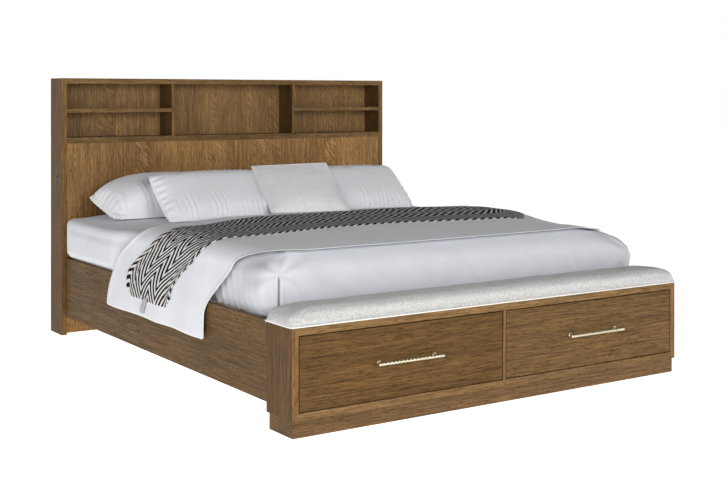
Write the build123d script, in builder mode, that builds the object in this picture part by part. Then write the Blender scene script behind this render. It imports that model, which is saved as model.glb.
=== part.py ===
from build123d import *
import os

# Platform bed with a bookcase headboard and two drawers in the foot bench.
# Millimetres. +Z is up, +Y runs from the foot to the headboard, and X = 0 is the
# centre line, so a person lying on the bed has +X at the right hand side of the foot.
# The origin is on the floor, under the middle of the bed's overall length.

# ---------------------------------------------------------------- driving dimensions
mattress_width = 1930.0          # eastern king mattress
mattress_length = 2032.0
mattress_thickness = 282.0
mattress_shell = 20.0            # quilted cover and foam round the spring unit

head_width = 2045.0
head_height = 1331.0
head_depth = 160.0
foot_width = 2020.0
foot_depth = 183.0
foot_height = 400.0
foot_underside = 63.0            # top of the plinth
head_to_foot = 2243.0            # front of the foot bench to the front of the headboard

frame_board = 28.0               # mitred members of the headboard and the foot bench
back_sheet = 9.0
groove_depth = 6.4
groove_play = 0.4

rail_outer_half = 1004.0
rail_thickness = 22.0
rail_bottom = 97.0
slat_top = 343.0
slat_thickness = 18.0
slat_width = 70.0
slat_count = 14

drawer_travel = 370.0
slide_length = 400.0
slide_thickness = 12.7
pull_length = 312.0
pull_radius = 5.5
pull_standoff = 31.5             # drawer face to the axis of the bar
pull_height = 236.0
post_inset = 24.0

cushion_thickness = 74.0

# ---------------------------------------------------------------- worked-out places
pull_reach = pull_standoff + pull_radius
overall_length = pull_reach + head_to_foot + head_depth
foot_front = -overall_length / 2 + pull_reach
foot_back = foot_front + foot_depth
head_front = foot_front + head_to_foot
head_back = head_front + head_depth

head_half = head_width / 2
head_inner = head_half - frame_board
foot_half = foot_width / 2
foot_inner = foot_half - frame_board
rail_inner = rail_outer_half - rail_thickness
slat_bottom = slat_top - slat_thickness

opening_bottom = foot_underside + frame_board
opening_top = foot_height - frame_board
back_sheet_front = head_back - 12.0
back_sheet_back = back_sheet_front + back_sheet

LOW = (Align.MIN, Align.MIN, Align.MIN)


def front_plane(y):
    """Sketch plane seen from the foot: sketch x is X, sketch y is Z, at this Y."""
    return Plane(origin=(0, y, 0), x_dir=(1, 0, 0), z_dir=(0, -1, 0))


def board(x, y, z, mode=Mode.ADD):
    """Add or cut a square-edged board between low and high limits on X, Y and Z."""
    x, y, z = sorted(x), sorted(y), sorted(z)
    with Locations((x[0], y[0], z[0])):
        Box(x[1] - x[0], y[1] - y[0], z[1] - z[0], align=LOW, mode=mode)


def save(part, label):
    """Label a finished piece and write its STEP file."""
    part.label = label
    export_step(part, f"parts/{label}.step")


def mirrored(side, low, high):
    """Limits on X at one side of the bed: side is -1 for left and 1 for right."""
    return sorted((side * low, side * high))


SIDES = (("left", -1), ("right", 1))
os.makedirs("parts", exist_ok=True)

# ---------------------------------------------------------------- headboard case
floor_top = 1022.0               # bookcase floor
floor_thickness = 30.0
floor_bottom = floor_top - floor_thickness
case_top = head_height - frame_board
divider_inner = 378.0
divider_outer = 394.0
dado = 5.0                       # depth of the housings that boards are let into
dado_setback = 12.0              # a housing stops short of the front edge
shelf_bottom = 1152.0
shelf_thickness = 20.0
shelf_play = 0.8
pin_radius = 2.5
pin_hold = 8.0
pin_setbacks = (30.0, 118.0)
sheet_seam = floor_bottom + floor_thickness / 2
sheet_foot = 10.0                # rear sheet and front panel stay off the floor

socket_width = 30.0              # charging strip let into each outer side
socket_height = 70.0
socket_depth = 20.0
socket_centre_y = head_front + 57.0
socket_centre_z = 801.0


def shelf_pin_points(side):
    """Centres of the pin holes beside one shelf, with the way each hole points on X."""
    z = shelf_bottom - pin_radius
    for setback in pin_setbacks:
        yield (side * head_inner, head_front + setback, z), side
        yield (side * divider_outer, head_front + setback, z), -side


def pin_drill(side, faces):
    """Cut the shelf pin holes whose faces stand on one board."""
    for (x, y, z), way in shelf_pin_points(side):
        if abs(x - faces) < 1e-6:
            with Locations(Location((x, y, z), (0, 90 * way, 0))):
                Cylinder(pin_radius, pin_hold, align=(Align.CENTER, Align.CENTER, Align.MIN),
                         mode=Mode.SUBTRACT)


for name, side in SIDES:
    with BuildPart() as head_side:
        with BuildSketch(front_plane(head_front)):
            Polygon((side * head_half, 0), (side * head_inner, 0),
                    (side * head_inner, case_top), (side * head_half, head_height), align=None)
        extrude(amount=-head_depth)
        board(mirrored(side, head_inner, head_inner + groove_depth),
              (back_sheet_front, back_sheet_back + groove_play),
              (sheet_foot, case_top + groove_depth), Mode.SUBTRACT)
        board(mirrored(side, head_inner, head_inner + dado),
              (head_front + dado_setback, back_sheet_front), (floor_bottom, floor_top),
              Mode.SUBTRACT)
        board(mirrored(side, head_half - socket_depth, head_half),
              (socket_centre_y - socket_width / 2, socket_centre_y + socket_width / 2),
              (socket_centre_z - socket_height / 2, socket_centre_z + socket_height / 2),
              Mode.SUBTRACT)
        pin_drill(side, side * head_inner)
    save(head_side.part, f"headboard_side_{name}")

with BuildPart() as head_top:
    with BuildSketch(front_plane(head_front)):
        Polygon((-head_half, head_height), (-head_inner, case_top),
                (head_inner, case_top), (head_half, head_height), align=None)
    extrude(amount=-head_depth)
    board((-head_inner - groove_depth, head_inner + groove_depth),
          (back_sheet_front, back_sheet_back + groove_play),
          (case_top, case_top + groove_depth), Mode.SUBTRACT)
    for side in (-1, 1):
        board(mirrored(side, divider_inner, divider_outer),
              (head_front + dado_setback, back_sheet_front), (case_top, case_top + dado),
              Mode.SUBTRACT)
save(head_top.part, "headboard_top_panel")

grommet_width = 84.0             # power modules let into the bookcase floor
grommet_depth = 44.0
grommet_rim = 5.0
grommet_body = 26.0
grommet_centres = ((-745.0, head_front + 44.0), (640.0, head_front + 44.0))

with BuildPart() as book_floor:
    board((-head_inner, head_inner), (head_front, back_sheet_front), (floor_bottom, floor_top))
    board((-head_inner - dado, head_inner + dado), (head_front + dado_setback, back_sheet_front),
          (floor_bottom, floor_top))
    for side in (-1, 1):
        board(mirrored(side, divider_inner, divider_outer),
              (head_front + dado_setback, back_sheet_front), (floor_top - dado, floor_top),
              Mode.SUBTRACT)
    for x, y in grommet_centres:
        board((x - grommet_width / 2 + 4, x + grommet_width / 2 - 4),
              (y - grommet_depth / 2 + 4, y + grommet_depth / 2 - 4),
              (floor_bottom, floor_top), Mode.SUBTRACT)
save(book_floor.part, "bookcase_floor")

for name, side in SIDES:
    with BuildPart() as divider:
        board(mirrored(side, divider_inner, divider_outer), (head_front, back_sheet_front),
              (floor_top, case_top))
        board(mirrored(side, divider_inner, divider_outer),
              (head_front + dado_setback, back_sheet_front),
              (floor_top - dado, case_top + dado))
        pin_drill(side, side * divider_outer)
    save(divider.part, f"bookcase_divider_{name}")

    with BuildPart() as shelf:
        board(mirrored(side, divider_outer + shelf_play, head_inner - shelf_play),
              (head_front + 1.0, back_sheet_front - 1.0),
              (shelf_bottom, shelf_bottom + shelf_thickness))
    save(shelf.part, f"bookcase_shelf_{name}")

with BuildPart() as shelf_pins:
    for name, side in SIDES:
        for (x, y, z), way in shelf_pin_points(side):
            with Locations(Location((x, y, z), (0, 90, 0))):
                Cylinder(pin_radius, 2 * pin_hold)
save(shelf_pins.part, "shelf_pins")

with BuildPart() as book_back:
    board((-head_inner - groove_depth + groove_play, head_inner + groove_depth - groove_play),
          (back_sheet_front, back_sheet_back), (sheet_seam, case_top + groove_depth - groove_play))
save(book_back.part, "bookcase_back_panel")

inlet_centre = (-620.0, 300.0)   # X and Z of the mains inlet in the rear sheet
inlet_half_width = 24.0
inlet_half_height = 13.0

with BuildPart() as rear_sheet:
    board((-head_inner - groove_depth + groove_play, head_inner + groove_depth - groove_play),
          (back_sheet_front, back_sheet_back), (sheet_foot, sheet_seam))
    board((inlet_centre[0] - inlet_half_width, inlet_centre[0] + inlet_half_width),
          (back_sheet_front, back_sheet_back),
          (inlet_centre[1] - inlet_half_height, inlet_centre[1] + inlet_half_height),
          Mode.SUBTRACT)
save(rear_sheet.part, "headboard_rear_panel")

panel_recess = 2.0
panel_thickness = 18.0
panel_back = head_front + panel_recess + panel_thickness

bolt_head_radius = 6.5
bolt_head_height = 3.5
bolt_radius = 4.0
bracket_steel = 3.0
bracket_leg = 60.0
bracket_z = (120.0, 280.0)
bracket_bolt_z = (150.0, 250.0)
housing_thickness = 18.0
housing_top = 290.0
housing_front = foot_front + 24.0
housing_back = foot_front + 430.0
housing_inner = foot_inner - housing_thickness
connector_y = (foot_back + 60.0, foot_back + 130.0)
connector_z = (118.0, 262.0)
rail_bolt_length = bracket_steel + 15.0
panel_bolt_length = bracket_steel + 14.0
connector_length = housing_thickness + 15.0


def bolt_points(side):
    """Seat, turn and length of each bolt on one side; a bolt runs along its turned +Z."""
    outward = (0, 90 * side, 0)
    for z in bracket_bolt_z:
        yield (side * (rail_inner - bracket_steel), head_front - 38.0, z), outward, rail_bolt_length
        yield ((side * (rail_inner - 36.0), head_front + panel_recess - bracket_steel, z),
               (-90, 0, 0), panel_bolt_length)
    for y in connector_y:
        for z in connector_z:
            yield (side * housing_inner, y, z), outward, connector_length


def drill_bolt_holes():
    """Cut every bolt's clearance hole from the open part."""
    for side in (-1, 1):
        for seat, turn, length in bolt_points(side):
            with Locations(Location(seat, turn)):
                Cylinder(bolt_radius, length, align=(Align.CENTER, Align.CENTER, Align.MIN),
                         mode=Mode.SUBTRACT)


with BuildPart() as front_panel:
    board((-head_inner, head_inner), (head_front + panel_recess, panel_back),
          (sheet_foot, floor_bottom))
    drill_bolt_holes()
save(front_panel.part, "headboard_front_panel")

stretcher_thickness = 22.0
stretcher_bottoms = (40.0, 500.0, 940.0)

with BuildPart() as stretchers:
    for z in stretcher_bottoms:
        board((-head_inner, head_inner), (panel_back, back_sheet_front),
              (z, z + stretcher_thickness))
save(stretchers.part, "headboard_stretchers")

# Power fittings: two desk modules in the bookcase floor, a strip on each outer side
# and one mains inlet at the back.
well = 2.5                       # depth of the socket wells
usb_size = (14.0, 6.0)
round_socket = 8.5

with BuildPart() as modules:
    for x, y in grommet_centres:
        with BuildSketch(Plane.XY.offset(floor_top)):
            with Locations((x, y)):
                RectangleRounded(grommet_width, grommet_depth, 5)
        extrude(amount=grommet_rim)
        board((x - grommet_width / 2 + 4, x + grommet_width / 2 - 4),
              (y - grommet_depth / 2 + 4, y + grommet_depth / 2 - 4),
              (floor_top - grommet_body, floor_top))
        with BuildSketch(Plane.XY.offset(floor_top + grommet_rim)):
            with Locations((x - 20, y)):
                Circle(round_socket)
            with Locations((x + 14, y - 8), (x + 14, y + 8)):
                Rectangle(*usb_size)
        extrude(amount=-well, mode=Mode.SUBTRACT)
save(modules.part, "shelf_power_modules")

with BuildPart() as strips:
    for side in (-1, 1):
        board(mirrored(side, head_half - socket_depth, head_half),
              (socket_centre_y - socket_width / 2, socket_centre_y + socket_width / 2),
              (socket_centre_z - socket_height / 2, socket_centre_z + socket_height / 2))
        face = Plane(origin=(side * head_half, socket_centre_y, socket_centre_z),
                     x_dir=(0, side, 0), z_dir=(side, 0, 0))
        with BuildSketch(face):
            with Locations((0, 16)):
                Circle(round_socket)
            with Locations((0, -8), (0, -20)):
                Rectangle(*usb_size)
        extrude(amount=-well, mode=Mode.SUBTRACT)
save(strips.part, "side_charging_strips")

with BuildPart() as inlet:
    board((inlet_centre[0] - inlet_half_width, inlet_centre[0] + inlet_half_width),
          (back_sheet_front - 16.0, back_sheet_back),
          (inlet_centre[1] - inlet_half_height, inlet_centre[1] + inlet_half_height))
    with BuildSketch(front_plane(back_sheet_back)):
        with Locations(inlet_centre):
            RectangleRounded(2 * inlet_half_width + 8, 2 * inlet_half_height + 8, 3)
    extrude(amount=-2.0)
    with BuildSketch(front_plane(back_sheet_back + 2.0)):
        with Locations(inlet_centre):
            RectangleRounded(27, 17, 3)
    extrude(amount=14.0, mode=Mode.SUBTRACT)
    with BuildSketch(front_plane(back_sheet_back - 3.0)):
        for dx, dz in ((-7, -2), (0, 2.5), (7, -2)):
            with Locations((inlet_centre[0] + dx, inlet_centre[1] + dz)):
                Rectangle(2, 5)
    extrude(amount=10.0)
save(inlet.part, "power_inlet")

# ---------------------------------------------------------------- side rails and base
for name, side in SIDES:
    with BuildPart() as rail:
        board(mirrored(side, rail_inner, rail_outer_half), (foot_back, head_front),
              (rail_bottom, foot_height))
        drill_bolt_holes()
    save(rail.part, f"side_rail_{name}")

ledge_width = 21.0
ledge_height = 32.0

with BuildPart() as ledges:
    for side in (-1, 1):
        board(mirrored(side, rail_inner - ledge_width, rail_inner),
              (foot_back + 2.0, head_front - 2.0), (slat_bottom - ledge_height, slat_bottom))
save(ledges.part, "slat_ledges")

with BuildPart() as brackets:
    for side in (-1, 1):
        board(mirrored(side, rail_inner - bracket_steel, rail_inner),
              (head_front - bracket_leg, head_front + panel_recess), bracket_z)
        board(mirrored(side, rail_inner - bracket_leg, rail_inner),
              (head_front + panel_recess - bracket_steel, head_front + panel_recess), bracket_z)
    drill_bolt_holes()
save(brackets.part, "rail_brackets")

with BuildPart() as bolts:
    for side in (-1, 1):
        for seat, turn, length in bolt_points(side):
            with Locations(Location(seat, turn)):
                Cylinder(bolt_radius, length, align=(Align.CENTER, Align.CENTER, Align.MIN))
                Cylinder(bolt_head_radius, bolt_head_height,
                         align=(Align.CENTER, Align.CENTER, Align.MAX))
save(bolts.part, "rail_bolts")

slat_gap = 3.0
slat_pitch = (head_front - foot_back - slat_width - 30.0) / (slat_count - 1)

with BuildPart() as slats:
    for i in range(slat_count):
        y = foot_back + 15.0 + i * slat_pitch
        board((-rail_inner + slat_gap, rail_inner - slat_gap), (y, y + slat_width),
              (slat_bottom, slat_top))
save(slats.part, "slats")

beam_width = 45.0
beam_height = 70.0
beam_front = housing_back + housing_thickness
beam_bottom = slat_bottom - beam_height
leg_ys = (beam_front + 40.0, (beam_front + head_front) / 2, head_front - 60.0)
glide_height = 12.0
stem_radius = 5.0
stem_length = 20.0

with BuildPart() as beam:
    board((-beam_width / 2, beam_width / 2), (beam_front, head_front), (beam_bottom, slat_bottom))
save(beam.part, "center_beam")

with BuildPart() as legs:
    for y in leg_ys:
        board((-beam_width / 2, beam_width / 2), (y - beam_width / 2, y + beam_width / 2),
              (glide_height, beam_bottom))
        with Locations((0, y, glide_height)):
            Cylinder(stem_radius, stem_length, align=(Align.CENTER, Align.CENTER, Align.MIN),
                     mode=Mode.SUBTRACT)
save(legs.part, "center_legs")

with BuildPart() as glides:
    for y in leg_ys:
        with BuildSketch(Plane.XZ.offset(-y)):
            with BuildLine():
                Polyline((0, 0), (14, 0), (16, 2), (16, 5), (11, glide_height),
                         (stem_radius, glide_height), (stem_radius, glide_height + stem_length),
                         (0, glide_height + stem_length), close=True)
            make_face()
        revolve(axis=Axis((0, y, 0), (0, 0, 1)))
save(glides.part, "leg_glides")

# ---------------------------------------------------------------- foot bench case
for name, side in SIDES:
    with BuildPart() as foot_side:
        with BuildSketch(front_plane(foot_front)):
            Polygon((side * foot_half, foot_underside), (side * foot_inner, opening_bottom),
                    (side * foot_inner, opening_top), (side * foot_half, foot_height), align=None)
        extrude(amount=-foot_depth)
    save(foot_side.part, f"foot_side_{name}")

for label, outer, inner in (("foot_top_panel", foot_height, opening_top),
                            ("foot_bottom_panel", foot_underside, opening_bottom)):
    with BuildPart() as foot_panel:
        with BuildSketch(front_plane(foot_front)):
            Polygon((-foot_half, outer), (-foot_inner, inner),
                    (foot_inner, inner), (foot_half, outer), align=None)
        extrude(amount=-foot_depth)
    save(foot_panel.part, label)

center_half = 7.0

with BuildPart() as center_divider:
    board((-center_half, center_half), (foot_front, foot_back), (opening_bottom, opening_top))
    board((-center_half, center_half), (foot_back, housing_back), (opening_bottom, slat_bottom))
save(center_divider.part, "foot_center_divider")

with BuildPart() as housing_sides:
    for side in (-1, 1):
        board(mirrored(side, housing_inner, foot_inner), (housing_front, housing_back),
              (opening_bottom, housing_top))
    drill_bolt_holes()
save(housing_sides.part, "drawer_housing_sides")

with BuildPart() as housing_rear:
    board((-foot_inner, foot_inner), (housing_back, housing_back + housing_thickness),
          (opening_bottom, housing_top))
save(housing_rear.part, "drawer_housing_rear_rail")

plinth_board = 18.0
plinth_front = foot_front + 9.0
plinth_back = foot_front + 173.0
plinth_half = foot_half - 7.0

with BuildPart() as plinth:
    board((-plinth_half, plinth_half), (plinth_front, plinth_front + plinth_board),
          (0, foot_underside))
    board((-plinth_half, plinth_half), (plinth_back - plinth_board, plinth_back),
          (0, foot_underside))
    for side in (-1, 1):
        board(mirrored(side, plinth_half - plinth_board, plinth_half),
              (plinth_front + plinth_board, plinth_back - plinth_board), (0, foot_underside))
save(plinth.part, "foot_plinth")

with BuildPart() as cushion:
    with BuildSketch(Plane.XY.offset(foot_height)):
        with Locations((0, (foot_front + foot_back) / 2)):
            RectangleRounded(foot_width + 4.0, foot_depth - 1.0, 14)
    extrude(amount=cushion_thickness)
    fillet(cushion.faces().sort_by(Axis.Z)[-1].edges(), 24)
save(cushion.part, "bench_cushion")

# ---------------------------------------------------------------- drawers
front_thickness = 20.0
front_gap = 4.0
box_board = 12.0
box_bottom_z = 112.0
box_top_z = 282.0
box_depth = 390.0
sheet_thickness = 6.0
sheet_lift = 10.0
slide_centre_z = 190.0
slide_start = housing_front + 2.0
steel = 1.5

box_front_y = foot_front + front_thickness
box_back_y = box_front_y + box_depth


def channel(face, way, web, flange, half_height):
    """Add one pressed steel channel of a slide: web and flange are distances from face."""
    z = slide_centre_z
    ys = (slide_start, slide_start + slide_length)
    board((face + way * web, face + way * (web + steel)), ys, (z - half_height, z + half_height))
    for edge in (-1, 1):
        board((face + way * web, face + way * flange), ys,
              (z + edge * half_height, z + edge * (half_height - steel)))


def slide_faces(side):
    """The two faces that carry one drawer's slides, and the way each one looks on X."""
    return ((side * housing_inner, -side), (side * center_half, side))


with BuildPart() as cabinet_members:
    for name, side in SIDES:
        for face, way in slide_faces(side):
            channel(face, way, 0.0, 7.5, 22.5)
save(cabinet_members.part, "slide_cabinet_members")

for name, side in SIDES:
    low, high = mirrored(side, center_half + front_gap, foot_inner - front_gap)
    box_low, box_high = mirrored(side, center_half + slide_thickness,
                                 housing_inner - slide_thickness)
    front_middle = (low + high) / 2

    with BuildPart() as drawer_front:
        board((low, high), (foot_front, box_front_y),
              (opening_bottom + front_gap, opening_top - front_gap))
        chamfer(drawer_front.faces().sort_by(Axis.Y)[0].edges(), 1.0)
    save(drawer_front.part, f"{name}_drawer_front")

    with BuildPart() as box_sides:
        for x, way in ((box_low, 1), (box_high, -1)):
            board((x, x + way * box_board), (box_front_y, box_back_y), (box_bottom_z, box_top_z))
            board((x + way * (box_board - 6.0), x + way * box_board), (box_front_y, box_back_y),
                  (box_bottom_z + sheet_lift, box_bottom_z + sheet_lift + sheet_thickness),
                  Mode.SUBTRACT)
    save(box_sides.part, f"{name}_drawer_box_sides")

    with BuildPart() as box_ends:
        board((box_low + box_board, box_high - box_board),
              (box_front_y, box_front_y + box_board), (box_bottom_z, box_top_z))
        board((box_low + box_board, box_high - box_board),
              (box_front_y, box_front_y + box_board),
              (box_bottom_z, box_bottom_z + sheet_lift + sheet_thickness), Mode.SUBTRACT)
        board((box_low + box_board, box_high - box_board),
              (box_back_y - box_board, box_back_y),
              (box_bottom_z + sheet_lift + sheet_thickness, box_top_z))
    save(box_ends.part, f"{name}_drawer_box_ends")

    with BuildPart() as bottom_sheet:
        board((box_low + box_board - 6.0, box_high - box_board + 6.0),
              (box_front_y, box_back_y),
              (box_bottom_z + sheet_lift, box_bottom_z + sheet_lift + sheet_thickness))
    save(bottom_sheet.part, f"{name}_drawer_bottom")

    bar_start = front_middle - pull_length / 2
    with BuildPart() as pull_bar:
        with BuildSketch(Plane.XZ.offset(-(foot_front - pull_standoff))):
            with BuildLine():
                Polyline((0, 0), (0, 4.6), (1, pull_radius), (16, pull_radius), (16.5, 4.4),
                         (18.5, 4.4), (19, pull_radius), (28, pull_radius), (28.5, 5.0),
                         (pull_length / 2, 5.0), (pull_length / 2, 0), close=True)
            make_face()
        revolve(axis=Axis((0, foot_front - pull_standoff, 0), (1, 0, 0)))
        mirror(about=Plane.YZ.offset(pull_length / 2))
    bar = pull_bar.part.moved(Location((bar_start, 0, pull_height)))
    save(bar, f"{name}_drawer_pull_bar")

    with BuildPart() as pull_posts:
        for x in (bar_start + post_inset, bar_start + pull_length - post_inset):
            with BuildSketch(front_plane(foot_front)):
                with Locations((x, pull_height)):
                    Circle(9.0)
            extrude(amount=3.0)
            with BuildSketch(front_plane(foot_front - 3.0)):
                with Locations((x, pull_height)):
                    Circle(4.2)
            extrude(amount=pull_standoff - 3.0)
        with Locations(Location((front_middle, foot_front - pull_standoff, pull_height),
                                (0, 90, 0))):
            Cylinder(pull_radius, pull_length, mode=Mode.SUBTRACT)
    save(pull_posts.part, f"{name}_drawer_pull_posts")

    with BuildPart() as inner_members:
        for face, way in slide_faces(side):
            channel(face, way, slide_thickness - steel, 7.0, 12.5)
    save(inner_members.part, f"{name}_slide_inner_members")

    with BuildPart() as middle_members:
        for face, way in slide_faces(side):
            channel(face, way, 3.0, 9.7, 17.0)
    save(middle_members.part, f"{name}_slide_middle_members")

# ---------------------------------------------------------------- mattress and bedding
mattress_foot = foot_back + 22.0
mattress_head = mattress_foot + mattress_length
mattress_half = mattress_width / 2
mattress_top = slat_top + mattress_thickness


with BuildPart() as mattress:
    with BuildSketch(Plane.XY.offset(slat_top)):
        with Locations((0, (mattress_foot + mattress_head) / 2)):
            RectangleRounded(mattress_width, mattress_length, 70)
    extrude(amount=mattress_thickness)
    fillet(mattress.faces().sort_by(Axis.Z)[-1].edges()
           + mattress.faces().sort_by(Axis.Z)[0].edges(), 30)
    board((-mattress_half + mattress_shell, mattress_half - mattress_shell),
          (mattress_foot + mattress_shell, mattress_head - mattress_shell),
          (slat_top + mattress_shell, mattress_top - mattress_shell), Mode.SUBTRACT)
save(mattress.part, "mattress")

duvet_thickness = 20.0
duvet_side = 13.0
duvet_hem = 412.0
duvet_head = foot_front + 1490.0
duvet_play = 1.0

with BuildPart() as duvet:
    with BuildSketch(Plane.XY.offset(duvet_hem)):
        with Locations((0, (mattress_foot - duvet_side + duvet_head) / 2)):
            Rectangle(2 * (mattress_half + duvet_side), duvet_head - mattress_foot + duvet_side)
    extrude(amount=mattress_top + duvet_thickness - duvet_hem)
    fillet(duvet.edges().filter_by(Axis.Z).group_by(Axis.Y)[0], 75)
    fillet(duvet.faces().sort_by(Axis.Z)[-1].edges().sort_by(Axis.Y)[:-1], 38)
    with BuildSketch(Plane.XY.offset(duvet_hem)):
        with Locations((0, (mattress_foot - duvet_play + duvet_head + 100) / 2)):
            Rectangle(2 * (mattress_half + duvet_play),
                      duvet_head + 100 - mattress_foot + duvet_play)
    extrude(amount=mattress_top + duvet_play - duvet_hem, mode=Mode.SUBTRACT)
save(duvet.part, "duvet")


def drape(foot_edge, head_edge, hem_foot_shift, hem_head_shift, hem_z, inside, outside, top):
    """Add a cloth that lies across the bed and hangs over both sides, leaning to the head."""
    for side in (-1, 1):
        flap = Plane(origin=(side * inside, 0, 0), x_dir=(0, side, 0), z_dir=(side, 0, 0))
        with BuildSketch(flap) as hanging:
            Polygon((side * foot_edge, top[1]), (side * head_edge, top[1]),
                    (side * (head_edge + hem_head_shift), hem_z),
                    (side * (foot_edge + hem_foot_shift), hem_z), align=None)
        extrude(hanging.sketch, amount=outside - inside)
    with BuildSketch(Plane.XY.offset(top[0])) as flat:
        with Locations((0, (foot_edge + head_edge) / 2)):
            Rectangle(2 * outside, head_edge - foot_edge)
    extrude(flat.sketch, amount=top[1] - top[0])


cover_top = mattress_top + duvet_thickness
coverlet_thickness = 5.0
coverlet_inside = rail_outer_half + 2.0
throw_thickness = 5.0
play = 0.5

with BuildPart() as coverlet:
    drape(foot_front + 285.0, foot_front + 1440.0, 413.0, 208.0, 245.0,
          coverlet_inside, coverlet_inside + coverlet_thickness,
          (cover_top + play, cover_top + play + coverlet_thickness))
save(coverlet.part, "coverlet")

throw_inside = coverlet_inside + coverlet_thickness + play
throw_low = cover_top + 2 * play + coverlet_thickness

with BuildPart() as throw:
    drape(foot_front + 700.0, foot_front + 1290.0, 292.0, 122.0, 324.0,
          throw_inside, throw_inside + throw_thickness,
          (throw_low, throw_low + throw_thickness))
save(throw.part, "throw_blanket")

pillow_width = 690.0
accent_size = 425.0
cushion_corner = 30.0
crown_share = 0.46               # part of each side that is at full thickness
accent_yaw = -13.0


def filled_cushion(centre, lean, yaw, size, below, above):
    """Add one filled cushion, thin at its seam and thick in its middle.

    centre is the middle of the seam's plane, lean its tilt from flat and yaw its turn
    about the vertical, in degrees; below and above are the thicknesses off that plane.
    """
    seat = Plane(Location(centre) * Location((0, 0, 0), (0, 0, yaw))
                 * Location((0, 0, 0), (lean, 0, 0)))
    sections = ((-below, crown_share), (0, 1), (above, crown_share))
    outlines = []
    for height, share in sections:
        with BuildSketch(seat.offset(height)) as outline:
            RectangleRounded(size[0] * share, size[1] * share, cushion_corner * share)
        outlines.append(outline.sketch)
    loft(outlines, ruled=True)


pillow_rows = (
    ("pillow_back", 560.0, foot_front + 1990.0, 692.0, 14.0, 380.0, 40.0, 100.0),
    ("pillow_front", 402.0, foot_front + 1680.0, 736.0, 41.0, 330.0, 40.0, 45.0),
)
for row, x, y, z, lean, length, below, above in pillow_rows:
    for name, side in SIDES:
        with BuildPart() as bed_pillow:
            filled_cushion((side * x, y, z), lean, 0.0, (pillow_width, length),
                           below, above)
        save(bed_pillow.part, f"{row}_{name}")

with BuildPart() as accent:
    filled_cushion((28.0, foot_front + 1600.0, 768.0), 33.0, accent_yaw,
                   (accent_size, accent_size), 12.0, 45.0)
save(accent.part, "accent_cushion")
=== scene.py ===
import math

import bmesh
import bpy
import numpy as np
from mathutils import Matrix, Vector, noise


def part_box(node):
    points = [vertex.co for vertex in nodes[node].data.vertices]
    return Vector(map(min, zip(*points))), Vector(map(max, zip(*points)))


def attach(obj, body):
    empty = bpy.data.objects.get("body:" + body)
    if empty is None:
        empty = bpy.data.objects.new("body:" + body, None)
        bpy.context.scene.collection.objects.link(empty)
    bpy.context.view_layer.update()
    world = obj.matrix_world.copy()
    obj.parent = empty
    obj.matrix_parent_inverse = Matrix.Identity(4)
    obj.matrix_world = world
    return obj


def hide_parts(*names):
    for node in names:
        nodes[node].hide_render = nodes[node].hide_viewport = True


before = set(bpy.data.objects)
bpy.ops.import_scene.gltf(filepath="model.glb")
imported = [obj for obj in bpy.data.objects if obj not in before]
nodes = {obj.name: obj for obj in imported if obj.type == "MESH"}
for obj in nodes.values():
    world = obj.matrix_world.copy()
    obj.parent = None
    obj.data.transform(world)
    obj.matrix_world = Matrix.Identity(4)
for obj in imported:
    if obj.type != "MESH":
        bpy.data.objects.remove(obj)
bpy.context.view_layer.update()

# ------------------------------------------------------------------ places from the frame
bench_low, bench_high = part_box("bench_cushion")
sheet_low, sheet_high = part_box("mattress")
duvet_low, duvet_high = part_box("duvet")
foot_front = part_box("left_drawer_front")[0].y
scene = bpy.context.scene

# Measures of the soft parts, in metres. COVER_HEAD_LINE and PLEAT_Y count from the foot's front.
COVER_TOP, COVER_HEAD_LINE = 0.6525, 1.545  # where the pillows lie on the coverlet
CUSHION_DROOP = 0.017  # how far one upper corner of the velvet cushion hangs
SHEET_BULGE, SHEET_SHOULDER_SAG = 0.052, 0.016
DUVET_CELL, DUVET_RADIUS, DUVET_WIDENING, DUVET_WALL = 0.0070, 0.105, 1.5, 0.006
PLEAT_X, PLEAT_Y, PLEAT_TOP, PLEAT_DEPTH, PLEAT_REACH = 0.932, 0.223, 0.560, 0.020, 0.042
RIGHT_SHOULDER_DROP = 0.036
COVER_THICKNESS, THROW_THICKNESS, TAB_THICKNESS = 0.0016, 0.0030, 0.0022
THROW_HEM_INSET = 0.078  # how much sooner than the coverlet the throw ends at each side
TAB_START, TAB_LENGTH = 0.095, 0.078
BENCH_CELL, BENCH_RADIUS, BENCH_INSET = 0.009, 0.026, 0.002
PIPING_RADIUS, PIPING_LIFT = 0.0028, 0.0045


# ------------------------------------------------------------------ camera, lights, world
def aim(obj, place, turn, pitch):
    """Stand an object at place, turned from +Y about Z and pitched down, in degrees."""
    obj.location = place
    obj.rotation_euler = (math.radians(90 - pitch), 0, math.radians(turn))


camera_data = bpy.data.cameras.new("camera")
camera = bpy.data.objects.new("camera", camera_data)
scene.collection.objects.link(camera)
camera_data.lens = 59.38
camera_data.sensor_width = 36
camera_data.shift_x = 0.0847
camera_data.shift_y = -0.2015
camera_data.clip_end = 60
aim(camera, (-3.2825, -4.8555, 1.2394), -32.233, 0.0)
scene.camera = camera


def soft_light(name, place, target, size, power):
    """A large rectangular area light that looks from place to target."""
    data = bpy.data.lights.new(name, "AREA")
    data.shape = "RECTANGLE"
    data.size, data.size_y = size
    data.energy = power
    lamp = bpy.data.objects.new(name, data)
    scene.collection.objects.link(lamp)
    lamp.location = place
    lamp.rotation_euler = (Vector(target) - Vector(place)).to_track_quat("-Z", "Y").to_euler()


soft_light("key", (-0.9, -8.4, 2.9), (0, 0, 0.5), (3.6, 2.6), 262)
soft_light("side", (-4.2, -3.4, 1.7), (-0.6, -0.6, 0.4), (1.8, 1.4), 48)
scene.view_settings.view_transform = "Standard"

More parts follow.
